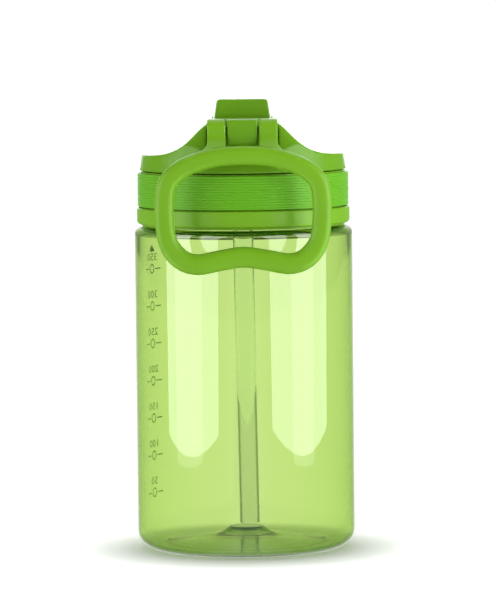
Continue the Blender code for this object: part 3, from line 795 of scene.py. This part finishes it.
def make_spout():
    """A block with a round barrel at its hinge, a chamfered front and a nipple for the soft tip."""
    half = SPOUT_HALF_W
    side = [(-5.0, 0.5), (-5.0, SPOUT_TOP), (14.0, SPOUT_TOP)] + arc(14.0, SPOUT_TOP - 6.0, 6.0, 80, 20, 6)
    side += [(SPOUT_FRONT, 4.4), (SPOUT_FRONT, -4.0), (4.0, -4.0)]
    side += arc(0.0, 0.0, SPOUT_BARREL_R, -58, -170, 20)
    ob = prism("spout_shell", side, "X", -half, half, SPOUT_PIVOT)
    corner_x, corner_z = 7.6, SPOUT_TOP - CORNER_R
    taper = [(-half, -8.0), (half, -8.0), (half, 2.9)] + arc(corner_x, corner_z, CORNER_R, 6, 90, 5)
    taper += arc(-corner_x, corner_z, CORNER_R, 90, 174, 5) + [(-half, 2.9)]
    combine(ob, [prism("taper", taper, "Y", -12.0, 40.0, SPOUT_PIVOT)], "INTERSECT")
    combine(ob, [rod("nipple", "Y", NIPPLE_R, 18.0, 28.0, SPOUT_PIVOT)], "UNION")
    tools = [rod("bore", "Y", DRINK_BORE_R, -10.0, 40.0, SPOUT_PIVOT)]
    for end in (-1, 1):
        near, far = sorted((end * 6.0, end * 12.0))
        tools.append(rod("socket", "X", PIN_HOLE_R, near, far, SPOUT_PIVOT))
    combine(ob, tools, "DIFFERENCE")
    soften(ob, 0.3, 5)
    dress(ob, LID, "spout", "lid_green", "spout")
    for end, name in ((-1, "left"), (1, "right")):
        near, far = sorted((end * STUB_PIN_NEAR, end * STUB_PIN_FAR))
        pin = rod(f"stub_pin_{name}", "X", STUB_PIN_R, near, far, SPOUT_PIVOT, chamfer=0.25)
        dress(pin, LID, "lid", "lid_green", f"spout_pin_{name}")


def make_mouthpiece():
    """A soft tip over the nipple, wider than it is tall, with the drinking hole through it."""
    outside = [(0.0, 22.3)] + arc(4.1, 22.9, 0.6, -90, 0, 5) + [(4.62, 25.0), (4.45, 27.0), (4.1, 29.0)]
    outside += [(3.75, 31.0), (3.65, 32.2)] + arc(2.6, 33.0, 1.0, 10, 90, 8) + [(0.0, 34.0)]
    hollow = [(0.0, 20.0), (3.9, 20.0), (3.9, 28.3), (1.6, 28.9), (1.6, 36.0), (0.0, 36.0)]
    made = []
    for name, profile, widen in (("mouthpiece_skin", outside, TIP_WIDEN), ("bore", hollow, 1.0)):
        bm = lathe_mesh(profile, False, 96)
        bmesh.ops.rotate(bm, matrix=Matrix.Rotation(-math.pi / 2, 3, "X"), verts=bm.verts)
        bmesh.ops.scale(bm, vec=(widen, 1.0, 1.0), verts=bm.verts)
        made.append(to_object(name, bm, SPOUT_PIVOT))
    ob, bore = made
    combine(ob, [bore], "DIFFERENCE")
    ob.data.shade_smooth()
    ob.data.set_sharp_from_angle(angle=math.radians(40))
    dress(ob, TIP, "spout", "silicone_green", "mouthpiece")


def make_straw():
    """The straw leans from the spout's port to the middle of the foot, held by its socket."""
    top = Vector((-0.4, SPOUT_PIVOT.y, 124.2))
    end = Vector((1.2, AXIS_Y - 0.6, 8.3))
    lean = Vector((0, 0, 1)).rotation_difference(top - end).to_matrix()
    length = (top - end).length
    outer, inner = STRAW_R - STRAW_LIP, STRAW_BORE_R + STRAW_LIP
    high, low = -STRAW_LIP, STRAW_LIP - length
    tube = arc(outer, high, STRAW_LIP, 0, 90, 3) + arc(inner, high, STRAW_LIP, 90, 180, 3)
    tube += arc(inner, low, STRAW_LIP, 180, 270, 3) + arc(outer, low, STRAW_LIP, 270, 360, 3)
    cup = [(3.7, -8.0), (5.0, -8.0), (5.0, 1.0), (6.6, 1.0), (6.6, 2.1), (2.4, 2.1), (2.4, 0.3), (3.7, 0.3)]
    for name, profile, mat, slot, node in (
        ("straw_tube", tube, STRAW_CLEAR, "clear_green", "straw"),
        ("socket_skin", cup, SOFT, "silicone_white", "straw_socket"),
    ):
        bm = lathe_mesh(profile, True, 64)
        bmesh.ops.rotate(bm, matrix=lean, verts=bm.verts)
        dress(to_object(name, bm, top), mat, "lid", slot, node)


def make_small_parts():
    seal = [(29.6, 125.1), (31.7, 125.1), (32.0, 125.4), (32.0, 126.5), (31.7, 126.8), (29.6, 126.8)]
    seal += [(29.3, 126.5), (29.3, 125.4)]
    dress(lathe("gasket", seal, on_axis()), SOFT, "seal", "silicone_white", "lid_seal")
    for name in ("spout_seal", "vent_valve"):
        carried = frame["nodes"][name]
        carried.data.materials.clear()
        carried.data.materials.append(SOFT)


# ---------------------------------------------------------------- studio

CAMERA_DISTANCE = 1500.0
CAMERA_HEIGHT = 196.0
CAMERA_X = 1.3
PITCH = 4.266
ROLL = -0.6
FOCAL = 265.3
DIM_SIDE = (0.0, -0.5, 0.87)
DIM_LIGHT = 0.12
BACK_LIGHT = 1.0
FLAG_LIGHT = 0.42
FLAG_COLOR = (0.42, 0.72, 0.26)
BACKDROP_LIGHT = 1.1
AIM_HEIGHT = 80.0
# The floor's glow is dimmed in a pool round the bottle: a painted shadow.
POOL_SHIFT = 3.0
POOL_INNER, POOL_OUTER = 32.0, 58.0
POOL_GLOW, PAPER_GLOW = 0.2, 0.95


def make_camera():
    data = bpy.data.cameras.new("camera")
    data.lens = FOCAL
    data.sensor_width = 36.0
    data.clip_start = 0.05
    data.clip_end = 50.0
    ob = bpy.data.objects.new("camera", data)
    bpy.context.scene.collection.objects.link(ob)
    ob.location = Vector((CAMERA_X, AXIS_Y - CAMERA_DISTANCE, CAMERA_HEIGHT)) * MM
    look = Matrix.Rotation(math.radians(90 - PITCH), 4, "X") @ Matrix.Rotation(math.radians(ROLL), 4, "Z")
    ob.rotation_euler = look.to_euler()
    bpy.context.scene.camera = ob


def softbox(name, azimuth, elevation, distance, width, height, radiance, receivers):
    """A rectangular lamp aimed at the bottle. Azimuth 0 is the camera's side, positive to its right."""
    data = bpy.data.lights.new(name, "AREA")
    data.shape = "RECTANGLE"
    data.size = width
    data.size_y = height
    data.energy = radiance * math.pi * width * height
    ob = bpy.data.objects.new(name, data)
    bpy.context.scene.collection.objects.link(ob)
    a, e = math.radians(azimuth), math.radians(elevation)
    away = Vector((math.sin(a) * math.cos(e), -math.cos(a) * math.cos(e), math.sin(e)))
    ob.location = Vector((0, AXIS_Y, AIM_HEIGHT)) * MM + away * distance
    ob.rotation_euler = away.to_track_quat("Z", "Y").to_euler()
    ob.visible_camera = False
    ob.visible_transmission = False
    ob.light_linking.receiver_collection = receivers


def make_world():
    """White, with a dim ceiling over the handle's side and dark green flags left and right."""
    world = bpy.data.worlds.new("studio")
    n = Nodes(world)
    sky = n.tree.nodes["Background"]
    direction = n.coords.outputs["Generated"]
    towards = n.add("ShaderNodeVectorMath", operation="DOT_PRODUCT")
    towards.inputs[1].default_value = DIM_SIDE
    n.link(direction, towards.inputs[0])
    ceiling = n.spread(towards.outputs["Value"], BACK_LIGHT, DIM_LIGHT, 0.0, 0.9, "SMOOTHSTEP")
    split = n.add("ShaderNodeSeparateXYZ")
    n.link(direction, split.inputs["Vector"])
    side = n.add("ShaderNodeMath", operation="ABSOLUTE")
    n.link(split.outputs["X"], side.inputs[0])
    flags = n.spread(side.outputs[0], 1.0, FLAG_LIGHT, 0.15, 0.5, "SMOOTHSTEP")
    strength = n.add("ShaderNodeMath", operation="MULTIPLY")
    n.link(ceiling, strength.inputs[0])
    n.link(flags, strength.inputs[1])
    n.link(strength.outputs[0], sky.inputs["Strength"])
    n.link(n.mix(flags, FLAG_COLOR, WHITE), sky.inputs["Color"])
    plain = n.add("ShaderNodeBackground", Color=(*WHITE, 1.0), Strength=BACKDROP_LIGHT)
    output = n.tree.nodes["World Output"]
    n.choose("Is Camera Ray", sky.outputs["Background"], plain.outputs["Background"], output)
    bpy.context.scene.world = world
    bpy.context.scene.view_settings.view_transform = "Standard"


def studio_white(name):
    """White paper made bright by its own even glow, with a shadow pool painted where the bottle stands by
    dimming that glow.
    """
    s = Shader(name)
    s.link(s.mix(s.noise(3.0), (0.89, 0.89, 0.89), (0.9, 0.9, 0.9)), s.base.inputs["Base Color"])
    s.set(Roughness=1.0, Specular_IOR_Level=0.0, Emission_Color=(*WHITE, 1.0))
    away = s.add("ShaderNodeVectorMath", operation="DISTANCE")
    away.inputs[1].default_value = (0.0, (AXIS_Y - POOL_SHIFT) * MM, 0.0)
    s.link(s.coords.outputs["Object"], away.inputs[0])
    # Glow drops near the bottle: a painted shadow pool.
    glow = s.spread(away.outputs["Value"], POOL_GLOW, PAPER_GLOW, POOL_INNER * MM, POOL_OUTER * MM)
    s.link(glow, s.base.inputs["Emission Strength"])
    return s.mat


def make_floor():
    bm = bmesh.new()
    bmesh.ops.create_grid(bm, x_segments=2, y_segments=2, size=4000.0)
    floor = to_object("floor", bm, (0, 0, -0.05))
    floor.data.materials.append(studio_white("paper"))
    floor.visible_glossy = False


def make_lamps():
    """Lamps that light the clear pieces and lamps that light the solid ones, each with its own set."""
    clear, solid = (bpy.data.collections.new(name) for name in ("clear_pieces", "solid_pieces"))
    for ob in bpy.context.scene.objects:
        if ob.type == "MESH":
            see_through = ob.active_material in (CLEAR, STRAW_CLEAR)
            (clear if see_through else solid).objects.link(ob)
    softbox("left_wide", -57.5, 20.0, 1.0, 1.28, 1.1, 4.4, clear)
    softbox("left_core", -60.5, 20.0, 0.98, 0.6, 1.1, 1.6, clear)
    softbox("right_wide", 61.3, 20.0, 1.0, 1.48, 1.1, 4.4, clear)
    softbox("right_core", 63.5, 20.0, 0.98, 0.5, 1.1, 1.6, clear)
    softbox("left_fill", -65.0, -12.0, 1.0, 1.1, 2.0, 4.0, solid)
    softbox("right_fill", 65.0, -12.0, 1.0, 1.1, 2.0, 6.4, solid)
    softbox("rim", 180.0, 16.0, 1.3, 0.9, 0.7, 3.0, solid)
    softbox("overhead", 180.0, 70.0, 1.3, 1.6, 1.2, 1.5, solid)


make_bottle()
make_scale()
make_cap()
make_ring()
make_dome()
make_handle()
make_spout()
make_mouthpiece()
make_straw()
make_small_parts()
make_camera()
make_world()
make_lamps()
make_floor()
